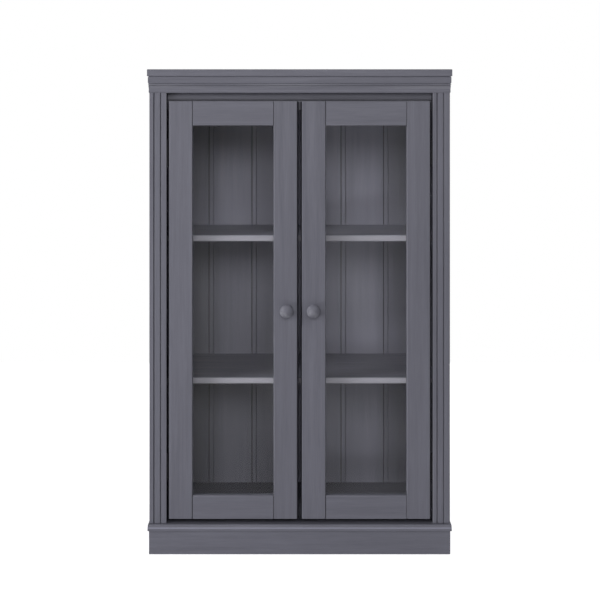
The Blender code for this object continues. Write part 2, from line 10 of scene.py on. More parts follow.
import bmesh
import bpy
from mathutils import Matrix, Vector


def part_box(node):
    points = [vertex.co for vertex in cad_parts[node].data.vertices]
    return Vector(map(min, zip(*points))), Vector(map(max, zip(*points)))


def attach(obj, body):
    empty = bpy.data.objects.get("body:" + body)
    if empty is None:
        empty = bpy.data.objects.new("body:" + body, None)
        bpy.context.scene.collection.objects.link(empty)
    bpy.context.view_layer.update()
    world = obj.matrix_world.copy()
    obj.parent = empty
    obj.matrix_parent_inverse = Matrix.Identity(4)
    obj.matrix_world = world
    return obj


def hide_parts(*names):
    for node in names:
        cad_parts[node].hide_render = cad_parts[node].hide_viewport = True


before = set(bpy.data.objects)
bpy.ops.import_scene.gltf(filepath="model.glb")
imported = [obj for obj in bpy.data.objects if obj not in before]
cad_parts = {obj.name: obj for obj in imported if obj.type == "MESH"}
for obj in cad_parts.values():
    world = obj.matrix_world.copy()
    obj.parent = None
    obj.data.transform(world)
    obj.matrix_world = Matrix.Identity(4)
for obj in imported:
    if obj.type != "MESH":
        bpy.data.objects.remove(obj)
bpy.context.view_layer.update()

# %% [markdown]
# ## Camera
# Upright edges stay upright in the picture, so the camera looks straight ahead and its frame is shifted down
# instead of being tilted. The shelves are seen from above, the upper one less than the lower, and the ratio of
# the two gives an eye level of 1.24 m. The distance follows from how deep the shelves look.

# %% Set up the camera
EYE_LEVEL = 1.243
EYE_DISTANCE = 2.983
face_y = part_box("pilaster_left")[0][1]
camera = bpy.data.objects.new("eye", bpy.data.cameras.new("eye"))
camera.data.sensor_width = 36.0
camera.data.lens = 61.87
camera.data.shift_x = 0.0006
camera.data.shift_y = -0.294
camera.location = (0.0, face_y - EYE_DISTANCE, EYE_LEVEL)
camera.rotation_euler = (math.radians(90), 0.0, 0.0)
bpy.context.scene.collection.objects.link(camera)
bpy.context.scene.camera = camera
print("camera at", [round(v, 3) for v in camera.location])

# %% [markdown]
# ## Light and floor
# The picture has the soft, nearly shadowless light of a white studio. A world that is white for the eye and
# dimmer for everything else keeps the ground white without flooding the paint. A lamp in front and a strong one
# high on the left make the shadows under the crown and the shelves. A weak one stands low on the left and
# brightens the knobs from below; it is hidden from mirror rays, or the panes would show it as a white box. The
# rear lamp doesn't reach the front: it lights the back and the right side. The floor is a small sheet of paper
# that glows, so that it melts into the white, and still takes the cabinet's shadow. Through glass it looks as it
# does to the eye. For mirror rays it glows less: the lamps light it too, and more would veil the panes.

# %% Make the white studio
bpy.context.scene.view_settings.view_transform = "Standard"
AMBIENT = 0.04


def link_nodes(tree, *pairs):
    for source, target in pairs:
        tree.links.new(source, target)


def ranged(tree, value, low, high, to_low, to_high):
    """A value that is moved from one range into another."""
    node = tree.nodes.new("ShaderNodeMapRange")
    for key, number in (("From Min", low), ("From Max", high), ("To Min", to_low), ("To Max", to_high)):
        node.inputs[key].default_value = number
    tree.links.new(value, node.inputs["Value"])
    return node.outputs["Result"]


def joined(tree, operation, first, second):
    """What a Math node makes of two values: each is a number or a socket."""
    node = tree.nodes.new("ShaderNodeMath")
    node.operation = operation
    for socket, value in ((node.inputs[0], first), (node.inputs[1], second)):
        if isinstance(value, float):
            socket.default_value = value
        else:
            tree.links.new(value, socket)
    return node.outputs[0]


world = bpy.data.worlds.new("studio")
bpy.context.scene.world = world
world.use_nodes = True
sky = world.node_tree
path = sky.nodes.new("ShaderNodeLightPath")
direct = joined(sky, "MAXIMUM", path.outputs["Is Camera Ray"], path.outputs["Is Glossy Ray"])
seen = joined(sky, "MAXIMUM", direct, path.outputs["Is Transmission Ray"])
sky.links.new(ranged(sky, seen, 0.0, 1.0, AMBIENT, 1.0), sky.nodes["Background"].inputs["Strength"])
sky.nodes["Background"].inputs["Color"].default_value = (1.0, 1.0, 1.0, 1.0)

# %% Hang the lamps


def lamp(name, place, target, power, width, height, mirrored=True):
    """A soft rectangular lamp that looks at a target, and that panes may mirror or not."""
    light = bpy.data.lights.new(name, "AREA")
    light.shape = "RECTANGLE"
    light.size, light.size_y, light.energy = width, height, power
    holder = bpy.data.objects.new(name, light)
    holder.location = place
    holder.rotation_euler = (Vector(target) - Vector(place)).to_track_quat("-Z", "Y").to_euler()
    holder.visible_glossy = holder.visible_transmission = mirrored
    bpy.context.scene.collection.objects.link(holder)


lamp("front_lamp", (0.0, -3.85, 2.35), (0.0, 0.0, 0.7), 54.0, 2.2, 1.2)
lamp("left_lamp", (-4.9, -2.5, 3.3), (0.0, 0.0, 0.7), 157.0, 2.0, 1.6)
lamp("low_lamp", (-3.2, -2.6, 0.17), (0.0, 0.0, 0.7), 50.0, 1.5, 0.3, mirrored=False)
lamp("rear_lamp", (4.5, 3.6, 3.2), (0.0, 0.0, 0.7), 190.0, 2.0, 1.6)

# %% Lay the floor
PAPER_HALF = 2.2
PAPER_DROP = 0.0004
GLOW_FADE = (0.4, 1.3, 0.74, 1.0)
MIRRORED_GLOW = 0.5
floor_bm = bmesh.new()
bmesh.ops.create_grid(floor_bm, x_segments=8, y_segments=8, size=PAPER_HALF)
bmesh.ops.translate(floor_bm, verts=floor_bm.verts[:], vec=(0.0, 0.0, -PAPER_DROP))
floor_mesh = bpy.data.meshes.new("studio_floor")
floor_bm.to_mesh(floor_mesh)
floor_bm.free()
floor = bpy.data.objects.new("studio_floor", floor_mesh)
bpy.context.scene.collection.objects.link(floor)
floor_paint = bpy.data.materials.new("floor_paper")
floor_paint.use_nodes = True
paper = floor_paint.node_tree
paper_shader = paper.nodes["Principled BSDF"]
paper_shader.inputs["Base Color"].default_value = (0.80, 0.80, 0.80, 1.0)
paper_shader.inputs["Roughness"].default_value = 0.9
paper_shader.inputs["Specular IOR Level"].default_value = 0.0
paper_shader.inputs["Emission Color"].default_value = (1.0, 1.0, 1.0, 1.0)
paper_path = paper.nodes.new("ShaderNodeLightPath")
paper_place = paper.nodes.new("ShaderNodeTexCoord")
paper_reach = paper.nodes.new("ShaderNodeVectorMath")
paper_reach.operation = "LENGTH"
paper.links.new(paper_place.outputs["Object"], paper_reach.inputs[0])
fade = ranged(paper, paper_reach.outputs["Value"], *GLOW_FADE)
mirrored = joined(paper, "MULTIPLY", paper_path.outputs["Is Glossy Ray"], MIRRORED_GLOW)
looked_at = joined(paper, "MAXIMUM", paper_path.outputs["Is Camera Ray"],
                   paper_path.outputs["Is Transmission Ray"])
glow = joined(paper, "MULTIPLY", joined(paper, "MAXIMUM", looked_at, mirrored), fade)
paper.links.new(glow, paper_shader.inputs["Emission Strength"])
floor_mesh.materials.append(floor_paint)
print("floor laid,", len(floor_mesh.polygons), "faces")

# %% [markdown]
# ## Graphite paint
# The wood is pine under a satin graphite paint. The paint hides its colour, but not its grain: fine pores run
# along each board, with slow bands between them. Noise that is stretched along the board gives both. Two face
# attributes help. "board" moves the pattern on, so that no two boards match, and the second marks the eased
# edges, where the paint is thin and paler, and also the painted highlights on the crown's bead and the knobs. The
# lamps alone don't give every tone of the picture, so some pieces get a lighter or a darker version of the paint,
# which is painted light and shade. Painted shade makes the header and the base board's top darker, painted light
# makes the back, the shelves and the nose lighter, and painted shade makes what faces the joints and the gaps
# beside the doors nearly black.

# %% A painter for the boards
GRAPHITE = (0.136, 0.136, 0.168)
WEAR_AND_HIGHLIGHT_TONE = (0.235, 0.235, 0.265)
STRETCH = {"upright": (1.0, 1.0, 0.035), "across": (0.035, 1.0, 1.0), "deep": (1.0, 0.035, 1.0)}


def add_node(tree, kind, **settings):
    """A node with its sockets and properties set by name."""
    node = tree.nodes.new("ShaderNode" + kind)
    for key, value in settings.items():
        socket = key.replace("_", " ")
        if socket in node.inputs:
            node.inputs[socket].default_value = value
        else:
            setattr(node, key, value)
    return node


def grain_place(tree, direction):
    """Object coordinates that are stretched along the grain and moved on for each board."""
    where = add_node(tree, "TexCoord")
    board = add_node(tree, "Attribute", attribute_name="board")
    moved = add_node(tree, "VectorMath", operation="ADD")
    stretched = add_node(tree, "Mapping")
    stretched.inputs["Scale"].default_value = STRETCH[direction]
    link_nodes(
        tree,
        (where.outputs["Object"], moved.inputs[0]),
        (board.outputs["Vector"], moved.inputs[1]),
        (moved.outputs["Vector"], stretched.inputs["Vector"]),
    )
    return moved.outputs["Vector"], stretched.outputs["Vector"]


def mix_colours(tree, factor, first, second):
    """A colour between two: each is a written colour or a socket."""
    node = tree.nodes.new("ShaderNodeMix")
    node.data_type = "RGBA"
    for socket, value in ((node.inputs[6], first), (node.inputs[7], second)):
        if isinstance(value, tuple):
            socket.default_value = (*value, 1.0)
        else:
            tree.links.new(value, socket)
    tree.links.new(factor, node.inputs[0])
    return node.outputs[2]


def shaded(colour, share):
    return tuple(channel * share for channel in colour)


def painted_board(name, direction, colour=GRAPHITE, depth=0.17, wear_and_highlight=0.55, gloss=0.35, coat=None):
    """Satin paint over pine, with the grain in one direction."""
    surface = bpy.data.materials.new(name)
    surface.use_nodes = True
    tree = surface.node_tree
    shader = tree.nodes["Principled BSDF"]
    plain, along = grain_place(tree, direction)
    pores = add_node(tree, "TexNoise", Scale=430.0, Detail=4.0, Roughness=0.62)
    bands = add_node(tree, "TexNoise", Scale=62.0, Detail=3.0, Roughness=0.55, Distortion=0.5)
    cloud = add_node(tree, "TexNoise", Scale=5.5, Detail=3.0, Roughness=0.6)
    brush = add_node(tree, "TexNoise", Scale=1500.0, Detail=2.0, Roughness=0.5)
    link_nodes(
        tree,
        (along, pores.inputs["Vector"]),
        (along, bands.inputs["Vector"]),
        (along, brush.inputs["Vector"]),
        (plain, cloud.inputs["Vector"]),
    )
    grain = joined(tree, "ADD", ranged(tree, pores.outputs[0], 0.3, 0.7, 0.0, 0.45),
                   ranged(tree, bands.outputs[0], 0.3, 0.7, 0.0, 0.55))
    tone = mix_colours(tree, grain, shaded(colour, 1 - depth), shaded(colour, 1 + depth))
    drift = ranged(tree, cloud.outputs[0], 0.3, 0.7, 0.0, 0.35)
    tone = mix_colours(tree, drift, tone, shaded(colour, 1 - 0.6 * depth))
    if coat:
        tone = coat(tree, tone)
    # Eased edges are worn paler; the same paler mix also paints highlights on the crown's bead and the knobs.
    edge = add_node(tree, "Attribute", attribute_name="wear_and_highlight")
    patchy = ranged(tree, bands.outputs[0], 0.42, 0.62, 0.1, wear_and_highlight)
    paler_share = joined(tree, "MULTIPLY", edge.outputs["Fac"], patchy)
    tone = mix_colours(tree, paler_share, tone, WEAR_AND_HIGHLIGHT_TONE)
    tree.links.new(tone, shader.inputs["Base Color"])
    tree.links.new(ranged(tree, grain, 0.2, 0.8, 0.62, 0.50), shader.inputs["Roughness"])
    shader.inputs["Specular IOR Level"].default_value = gloss
    relief = joined(tree, "ADD", grain, ranged(tree, brush.outputs[0], 0.3, 0.7, 0.0, 0.25))
    bump = add_node(tree, "Bump", Strength=0.35, Distance=0.0004)
    link_nodes(tree, (relief, bump.inputs["Height"]), (bump.outputs["Normal"], shader.inputs["Normal"]))
    return surface


# Painted shade and light on the back boards: darker toward the side panels and low down, and a painted pool of
# light just above each shelf.
SIDE_SHADE = (0.24, 0.37, 1.0, 0.46)
LOW_SHADE = (0.45, 1.05, 0.83, 1.0)
PAINTED_LIGHT_PATCHES = ((0.915, 0.30, -1.0), (0.497, 0.24, 0.0))
PATCH_HEIGHT = 0.135
PATCH_RUN = 0.12
PAINTED_LIGHT_TONE = shaded(GRAPHITE, 3.2)


def painted_back_shade_and_light(tree, tone):
    """Tones fitted to the picture, painted in: painted shade by the sides and low down, painted light above
    shelves.
    """
    where = add_node(tree, "SeparateXYZ")
    tree.links.new(add_node(tree, "TexCoord").outputs["Object"], where.inputs["Vector"])
    aside = add_node(tree, "Math", operation="ABSOLUTE")
    tree.links.new(where.outputs["X"], aside.inputs[0])
    lightness = joined(tree, "MULTIPLY", ranged(tree, aside.outputs[0], *SIDE_SHADE),
                       ranged(tree, where.outputs["Z"], *LOW_SHADE))
    tone = mix_colours(tree, lightness, (0.0, 0.0, 0.0), tone)
    for shelf_top, share, start in PAINTED_LIGHT_PATCHES:
        fading = ranged(tree, where.outputs["Z"], shelf_top, shelf_top + PATCH_HEIGHT, share, 0.0)
        starting = ranged(tree, where.outputs["Z"], shelf_top - 0.017, shelf_top - 0.001, 0.0, 1.0)
        above = joined(tree, "MULTIPLY", fading, starting)
        reach = ranged(tree, where.outputs["X"], start, start + PATCH_RUN, 0.0, 1.0)
        tone = mix_colours(tree, joined(tree, "MULTIPLY", above, reach), tone, PAINTED_LIGHT_TONE)
    return tone


upright_paint = painted_board("graphite_upright", "upright")
across_paint = painted_board("graphite_across", "across")
deep_paint = painted_board("graphite_deep", "deep")
# Painted shade: the header's paint is 0.84 times as dark, for the shade under the crown.
header_shade_paint = painted_board("graphite_header", "across", colour=shaded(GRAPHITE, 0.84))
# Painted light and shade: the back boards' paint is 1.75 times as light as the rest, with painted shade by the
# sides and low down.
back_paint = painted_board("graphite_back_boards", "upright", colour=shaded(GRAPHITE, 1.75), depth=0.15,
                           coat=painted_back_shade_and_light)
# Painted light: the shelves' paints are lighter than the rest, the upper one's most.
shelf_paints = {"shelf_lower": painted_board("graphite_lower_shelf", "across", colour=shaded(GRAPHITE, 1.18)),
                "shelf_upper": painted_board("graphite_upper_shelf", "across", colour=shaded(GRAPHITE, 1.60))}
# Painted shade: the base board's top, under the doors, is 0.72 times as dark.
tread_shade_paint = painted_board("graphite_tread", "across", colour=shaded(GRAPHITE, 0.72))
# Paler paint for the shelves' front edges.
shelf_edge_paint = painted_board("rubbed_shelf_edge", "across", colour=(0.312, 0.308, 0.352), depth=0.05)
# The turned knobs' paint takes a strong paler mix, for the painted highlight at their lower left.
knob_paint = painted_board("graphite_turned", "deep", depth=0.05, wear_and_highlight=0.85)
# Painted shade: nearly black paint on the faces in the gaps beside the doors, where shade falls.
gap_shade_paint = painted_board("graphite_gap_edges", "upright", colour=shaded(GRAPHITE, 0.10), depth=0.2, gloss=0.0)
# Painted shade: nearly black paint inside the quirks and joints, where shade falls.
joint_shade_paint = painted_board("graphite_joints", "upright", colour=shaded(GRAPHITE, 0.16), depth=0.2)
# A painted highlight: a band of the base board's nose gets a paint 1.8 times as light, where light catches the
# round.
nose_highlight_paint = painted_board("rubbed_nose", "across", colour=shaded(GRAPHITE, 1.80), depth=0.05, gloss=0.1)
print("paints:", [m.name for m in bpy.data.materials if "graphite" in m.name])

# %% [markdown]
# ## Steel
# The hinges are dark steel and the catches and screws are zinc plated. Steel is seldom even: fine scratches and
# a slow stain change its gloss, so both come from noise.

# %% Two kinds of steel


def steel(name, colour, roughness, scratch):
    surface = bpy.data.materials.new(name)
    surface.use_nodes = True
    tree = surface.node_tree
    shader = tree.nodes["Principled BSDF"]
    plain, along = grain_place(tree, "upright")
    marks = add_node(tree, "TexNoise", Scale=2600.0, Detail=3.0)
    stain = add_node(tree, "TexNoise", Scale=240.0, Detail=3.0)
    link_nodes(tree, (along, marks.inputs["Vector"]), (plain, stain.inputs["Vector"]))
    stained = ranged(tree, stain.outputs[0], 0.35, 0.7, 0.0, 1.0)
    tone = mix_colours(tree, stained, colour, shaded(colour, 0.72))
    dull = ranged(tree, stain.outputs[0], 0.3, 0.7, roughness - 0.08, roughness + 0.1)
    link_nodes(tree, (tone, shader.inputs["Base Color"]), (dull, shader.inputs["Roughness"]))
    shader.inputs["Metallic"].default_value = 1.0
    bump = add_node(tree, "Bump", Strength=scratch, Distance=0.0001)
    link_nodes(
        tree,
        (marks.outputs[0], bump.inputs["Height"]),
        (bump.outputs["Normal"], shader.inputs["Normal"]),
    )
    return surface


dark_steel = steel("dark_hinge_steel", (0.020, 0.020, 0.022), 0.48, 0.3)
zinc_steel = steel("zinc_steel", (0.52, 0.52, 0.53), 0.30, 0.2)
print("steels:", dark_steel.name, zinc_steel.name)

# %% [markdown]
# ## Glass
# Each pane is clear 4 mm glass. Light has to reach the shelves, so the glass is see-through for shadow rays. A
# pane is never quite clean: a thin film of dust in slanting smears catches a little light. Real glass bends light
# with an index of about 1.5. The index here is 1.2, because the panes in the picture mirror very little.

# %% Make the glass
PANE_INDEX = 1.2
DUST = 0.014
glass = bpy.data.materials.new("clear_pane")
glass.use_nodes = True
pane = glass.node_tree
pane_shader = pane.nodes["Principled BSDF"]
pane_shader.inputs["Base Color"].default_value = (0.978, 0.975, 0.980, 1.0)
pane_shader.inputs["Roughness"].default_value = 0.0
pane_shader.inputs["IOR"].default_value = PANE_INDEX
pane_shader.inputs["Transmission Weight"].default_value = 1.0
clear = pane.nodes.new("ShaderNodeBsdfTransparent")
film = pane.nodes.new("ShaderNodeBsdfDiffuse")
film.inputs["Color"].default_value = (0.75, 0.76, 0.78, 1.0)
pane_path = pane.nodes.new("ShaderNodeLightPath")
pane_place = add_node(pane, "TexCoord")
slant = add_node(pane, "Mapping")
slant.inputs["Rotation"].default_value = (0.0, math.radians(38), 0.0)
slant.inputs["Scale"].default_value = (6.0, 6.0, 1.6)
smear = add_node(pane, "TexNoise", Scale=1.0, Detail=3.0, Roughness=0.55, Distortion=0.6)
dusty = pane.nodes.new("ShaderNodeMixShader")
lit = pane.nodes.new("ShaderNodeMixShader")
through = joined(pane, "MAXIMUM", pane_path.outputs["Is Shadow Ray"], pane_path.outputs["Is Diffuse Ray"])
link_nodes(
    pane,
    (pane_place.outputs["Object"], slant.inputs["Vector"]),
    (slant.outputs["Vector"], smear.inputs["Vector"]),
    (ranged(pane, smear.outputs[0], 0.48, 0.72, 0.0, DUST), dusty.inputs["Fac"]),
    (pane_shader.outputs["BSDF"], dusty.inputs[1]),
    (film.outputs["BSDF"], dusty.inputs[2]),
    (through, lit.inputs["Fac"]),
    (dusty.outputs["Shader"], lit.inputs[1]),
    (clear.outputs["BSDF"], lit.inputs[2]),
    (lit.outputs["Shader"], pane.nodes["Material Output"].inputs["Surface"]),
)
print("glass made")

# %% [markdown]
# ## Working with boards
# Most pieces are boards: an outline that is pushed along. A few vertices make one face, and extrude turns it
# into a solid. Real boards have no knife edges, so each arris is eased with a small bevel, and the bevel's
# faces are marked as worn for the paint.

# %% Helpers for boards
TOUCH = 1e-5
SEAT_GAP = 0.0003
made = []


def begin():
    bm = bmesh.new()
    bm.faces.layers.float.new("wear_and_highlight")
    bm.faces.layers.float_vector.new("board")
    return bm


def pushed(points, along):
    """A solid from the corners of one end, pushed along a vector."""
    bm = begin()
    face = bm.faces.new([bm.verts.new(p) for p in points])
    copy = bmesh.ops.extrude_face_region(bm, geom=[face])["geom"]
    tip = [part for part in copy if isinstance(part, bmesh.types.BMVert)]
    bmesh.ops.translate(bm, verts=tip, vec=along)
    bmesh.ops.recalc_face_normals(bm, faces=bm.faces[:])
    return bm


def board_in(node):
    """A plain board that fills a node's box."""
    low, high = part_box(node)
    bm = begin()
    bmesh.ops.create_cube(bm, size=1.0)
    bmesh.ops.scale(bm, verts=bm.verts[:], vec=Vector(high) - Vector(low))
    bmesh.ops.translate(bm, verts=bm.verts[:], vec=(Vector(low) + Vector(high)) / 2)
    return bm


def round_edges(bm, edges, width, steps):
    """Rounds edges and marks the new faces as worn."""
    faces = bmesh.ops.bevel(bm, geom=edges, offset=width, offset_type="OFFSET", segments=steps, profile=0.5,
                            affect="EDGES", material=-1, clamp_overlap=True)["faces"]
    wear_and_highlight = bm.faces.layers.float["wear_and_highlight"]
    for face in faces:
        face[wear_and_highlight] = 1.0
        face.smooth = True
    return faces


def ease(bm, width=0.0008, steps=2):
    """Takes the sharpness off every outer corner."""
    sharp = math.radians(35)
    edges = [e for e in bm.edges if e.is_manifold and e.is_convex and e.calc_face_angle() > sharp]
    return round_edges(bm, edges, width, steps)


def long_edges(bm, axis, test):
    """The edges that run along an axis and whose middle passes a test."""
    found = []
    for edge in bm.edges:
        way = (edge.verts[1].co - edge.verts[0].co).normalized()
        if abs(way[axis]) > 0.999 and test((edge.verts[0].co + edge.verts[1].co) / 2):
            found.append(edge)
    return found


def put(name, bm, body, nodes, finishes, crease=25):
    """Turns a bmesh into a piece that rides on a body and stands for its nodes."""
    step = len(made)
    board = bm.faces.layers.float_vector["board"]
    for face in bm.faces:
        face[board] = (0.37 * step, 0.83 * step, 0.61 * step)
    open_edges = sum(1 for e in bm.edges if not e.is_manifold)
    for edge in bm.edges:
        edge.smooth = edge.is_manifold and edge.calc_face_angle() < math.radians(crease)
    mesh = bpy.data.meshes.new(name)
    bm.to_mesh(mesh)
    bm.free()
    piece = bpy.data.objects.new(name, mesh)
    bpy.context.scene.collection.objects.link(piece)
    for finish in finishes:
        mesh.materials.append(finish)
    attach(piece, body)
    if nodes:
        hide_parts(*nodes)
    made.append(piece)
    if open_edges:
        print("open edges on", name, open_edges)
    return piece


# %% [markdown]
# ## Plinth and base board
# The plinth's front and sides meet in mitres. Each is a plank that is pushed past its corner and cut back with a
# slanting bisect plane. The base board has a rounded nose that is taller than it is deep: a round bevel that is
# then stretched downwards. At the ends of the board the same curve is squeezed, so they are steeper. Behind the
# doors its top is sunk, so the board is drawn face by face: a rim in the shape of a U, and a floor that lies
# lower and runs out into the notch for the back.

# %% The mitred plinth
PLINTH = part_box("plinth_front")
plinth_top = PLINTH[1][2]
half_body = PLINTH[1][0]
back_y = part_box("plinth_left")[1][1]
PLINTH_THICKNESS = PLINTH[1][1] - PLINTH[0][1]
SPARE = 0.05


def cut_end(bm, point, normal):
    """Cuts off what lies beyond a plane and closes the end."""
    everything = bm.verts[:] + bm.edges[:] + bm.faces[:]
    cut = bmesh.ops.bisect_plane(bm, geom=everything, dist=1e-7, plane_co=point, plane_no=normal,
                                 clear_outer=True)
    rim = [part for part in cut["geom_cut"] if isinstance(part, bmesh.types.BMEdge)]
    bmesh.ops.holes_fill(bm, edges=rim, sides=0)
    bmesh.ops.recalc_face_normals(bm, faces=bm.faces[:])


def front_run(section, plane):
    """A moulding across the front; section pairs are how far it stands out, and its height."""
    corners = [(-half_body - SPARE, plane - out, z) for out, z in section]
    bm = pushed(corners, (2 * (half_body + SPARE), 0.0, 0.0))
    for side in (-1, 1):
        cut_end(bm, (side * half_body, plane, 0.0), (side, 1.0, 0.0))
    return bm


def side_run(section, plane, side):
    """A moulding along one side, mitred in front and square behind."""
    corners = [(side * (half_body + out), plane - SPARE, z) for out, z in section]
    bm = pushed(corners, (0.0, back_y - plane + SPARE, 0.0))
    cut_end(bm, (side * half_body, plane, 0.0), (-side, -1.0, 0.0))
    return bm


plank = [(0.0, 0.0), (0.0, plinth_top), (-PLINTH_THICKNESS, plinth_top), (-PLINTH_THICKNESS, 0.0)]
plinth = front_run(plank, PLINTH[0][1])
ease(plinth)
put("eased_plinth_front", plinth, "cabinet", ["plinth_front"], [across_paint])
for label, side in (("left", -1), ("right", 1)):
    plinth = side_run(plank, PLINTH[0][1], side)
    ease(plinth)
    put("eased_plinth_" + label, plinth, "cabinet", ["plinth_" + label], [deep_paint])
plinth = board_in("plinth_back")
ease(plinth)
put("eased_plinth_back", plinth, "cabinet", ["plinth_back"], [across_paint])
print("plinth stands", round(plinth_top * 1000, 1), "mm high")

# %% The base board and its nose
NOSE_RUN = 0.0075
NOSE_DROP = 0.012
# The band of the nose, below its top, that gets the painted highlight.
NOSE_HIGHLIGHT_BAND = (0.0075, 0.0115)
END_RUN = 0.001
FLOOR_SINK = 0.008
base_low, base_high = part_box("base_board")
board_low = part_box("back_board_1")[0]
half_back = -board_low[0]
w, front = base_high[0], base_low[1]
notch = board_low[1] - SEAT_GAP
top = base_high[2]
half_inside = -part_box("side_panel_left")[1][0]
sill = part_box("pilaster_left")[1][1]
plan = [(-w, front), (w, front), (w, back_y), (half_back, back_y), (half_back, notch), (-half_back, notch),
        (-half_back, back_y), (-w, back_y)]
sunk = [(half_inside, notch), (half_inside, sill), (-half_inside, sill), (-half_inside, notch)]
base = begin()
under = [base.verts.new((x, y, base_low[2])) for x, y in plan]
over = [base.verts.new((x, y, top)) for x, y in plan]
brink = [base.verts.new((x, y, top)) for x, y in sunk]
pit = [base.verts.new((x, y, top - FLOOR_SINK)) for x, y in sunk]
for i in (0, 1, 2, 3, 5, 6, 7):
    j = (i + 1) % 8
    base.faces.new((under[i], under[j], over[j], over[i]))
for i in range(3):
    base.faces.new((brink[i], brink[i + 1], pit[i + 1], pit[i]))
base.faces.new((under[4], under[5], over[5], brink[3], pit[3], pit[0], brink[0], over[4]))
base.faces.new(over[:5] + brink + over[5:])
base.faces.new(pit)
base.faces.new(under)
bmesh.ops.recalc_face_normals(base, faces=base.faces[:])
nose = long_edges(base, 0, lambda m: m.z > top - TOUCH and m.y < front + TOUCH)
nose += long_edges(base, 1, lambda m: m.z > top - TOUCH and abs(m.x) > w - TOUCH)
round_edges(base, nose, NOSE_RUN, 8)
for vert in base.verts:
    if top - vert.co.z < NOSE_RUN + 1e-6:
        vert.co.z = top - (top - vert.co.z) * NOSE_DROP / NOSE_RUN
    inset = w - abs(vert.co.x)
    if inset < NOSE_RUN + 1e-6:
        vert.co.x = math.copysign(w - inset * END_RUN / NOSE_RUN, vert.co.x)
wear_and_highlight = base.faces.layers.float["wear_and_highlight"]
for face in base.faces:
    drop = top - face.calc_center_median().z
    face[wear_and_highlight] = 0.0
    # Painted shade and light: up-facing faces get the darker tread paint, and the band of the nose gets the
    # painted highlight.
    face.material_index = 1 if face.normal.z > 0.9 else 2 if NOSE_HIGHLIGHT_BAND[0] < drop < NOSE_HIGHLIGHT_BAND[1] else 0
lower_arris = long_edges(base, 0, lambda m: m.z < base_low[2] + TOUCH and m.y < front + TOUCH)
round_edges(base, lower_arris, 0.0008, 2)
put("nosed_base_board", base, "cabinet", ["base_board"], [across_paint, tread_shade_paint, nose_highlight_paint])
print("base board is", round((top - base_low[2]) * 1000, 1), "mm thick with a", NOSE_DROP * 1000, "mm nose")

# %% [markdown]
# ## Case
# Behind the corner posts stand plain side panels, rebated at the back. Each post has two reeds: shallow grooves
# that are cut down its whole face, and that read as thin dark lines from across the room. The header rail and
# the top panel close the case above. A shadow groove runs along the header, just over the heads of the doors.

# %% The reeded corner posts
REEDS = {"left": (0.0136, 0.0326), "right": (0.0127, 0.0317)}
REED_HALF = 0.0018
REED_DEPTH = 0.0055
POST_INNER = 0.390
for label in ("left", "right"):
    low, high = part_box("pilaster_" + label)
    corners = [(low[0], high[1]), (low[0], low[1])]
    for reed in REEDS[label]:
        middle = low[0] + reed
        corners += [(middle - REED_HALF, low[1]), (middle - REED_HALF * 0.5, low[1] + REED_DEPTH)]
        corners += [(middle + REED_HALF * 0.5, low[1] + REED_DEPTH), (middle + REED_HALF, low[1])]
    corners += [(high[0], low[1]), (high[0], high[1])]
    post = pushed([(x, y, low[2]) for x, y in corners], (0.0, 0.0, high[2] - low[2]))
    arris = long_edges(post, 2, lambda m: m.y < low[1] + TOUCH and min(m.x - low[0], high[0] - m.x) < TOUCH)
    round_edges(post, arris, 0.0016, 4)
    bottoms = long_edges(post, 2, lambda m: low[1] + REED_DEPTH - TOUCH < m.y < high[1] - 1e-3)
    round_edges(post, bottoms, 0.0008, 3)
    lips = long_edges(post, 2, lambda m: m.y < low[1] + TOUCH and 0.005 < m.x - low[0] < 0.045)
    round_edges(post, lips, 0.0005, 2)
    inwards = 1 if label == "left" else -1
    # Painted shade: the post's face toward the door gap gets the nearly black paint.
    for face in post.faces:
        in_gap = face.normal.x * inwards > 0.9 and face.calc_center_median().x * inwards > -POST_INNER
        face.material_index = 1 if in_gap else 0
    put("reeded_post_" + label, post, "cabinet", ["pilaster_" + label], [upright_paint, gap_shade_paint])
print("posts are", round((high[0] - low[0]) * 1000), "mm wide with", len(REEDS[label]), "reeds each")

# %% The side panels
for label, side in (("left", -1), ("right", 1)):
    low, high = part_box("side_panel_" + label)
    inside = side * (min(abs(low[0]), abs(high[0])))
    outside = side * half_body
    rebate = board_low[1] - SEAT_GAP
    plan = [(outside, low[1]), (inside, low[1]), (inside, rebate), (side * half_back, rebate),
            (side * half_back, back_y), (outside, back_y)]
    panel = pushed([(x, y, low[2]) for x, y in plan], (0.0, 0.0, high[2] - low[2]))
    ease(panel)
    put("eased_side_" + label, panel, "cabinet", ["side_panel_" + label], [upright_paint])
print("side panels are", round(abs(outside - inside) * 1000), "mm thick")

# %% The header rail and the top panel
GROOVE_RISE = 0.0050
GROOVE_CUT = 0.0060
door_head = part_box("left_hinge_stile")[1][2]
low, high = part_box("header_rail")
section = [(low[1], low[2]), (low[1], door_head), (low[1] + GROOVE_CUT, door_head)]
section += [(low[1] + GROOVE_CUT, door_head + GROOVE_RISE), (low[1], door_head + GROOVE_RISE)]
section += [(low[1], high[2]), (high[1], high[2]), (high[1], low[2])]
header = pushed([(low[0], y, z) for y, z in section], (high[0] - low[0], 0.0, 0.0))
ease(header, 0.0005)
# The header gets the darker paint: painted shade under the crown.
put("grooved_header", header, "cabinet", ["header_rail"], [header_shade_paint])
for node in ("top_panel", "crown_back"):
    board = board_in(node)
    ease(board)
    put("eased_" + node, board, "cabinet", [node], [across_paint])
print("header hangs", round(low[2], 3), "m above the floor")

# %% [markdown]
# ## Boarded back
# Six upright boards are tongued and grooved together. Each has a V at its joint and a quirk a thumb's width
# beside it, so that a narrow bead stands between the two. One outline with these cuts is pushed up the full
# height for each board.

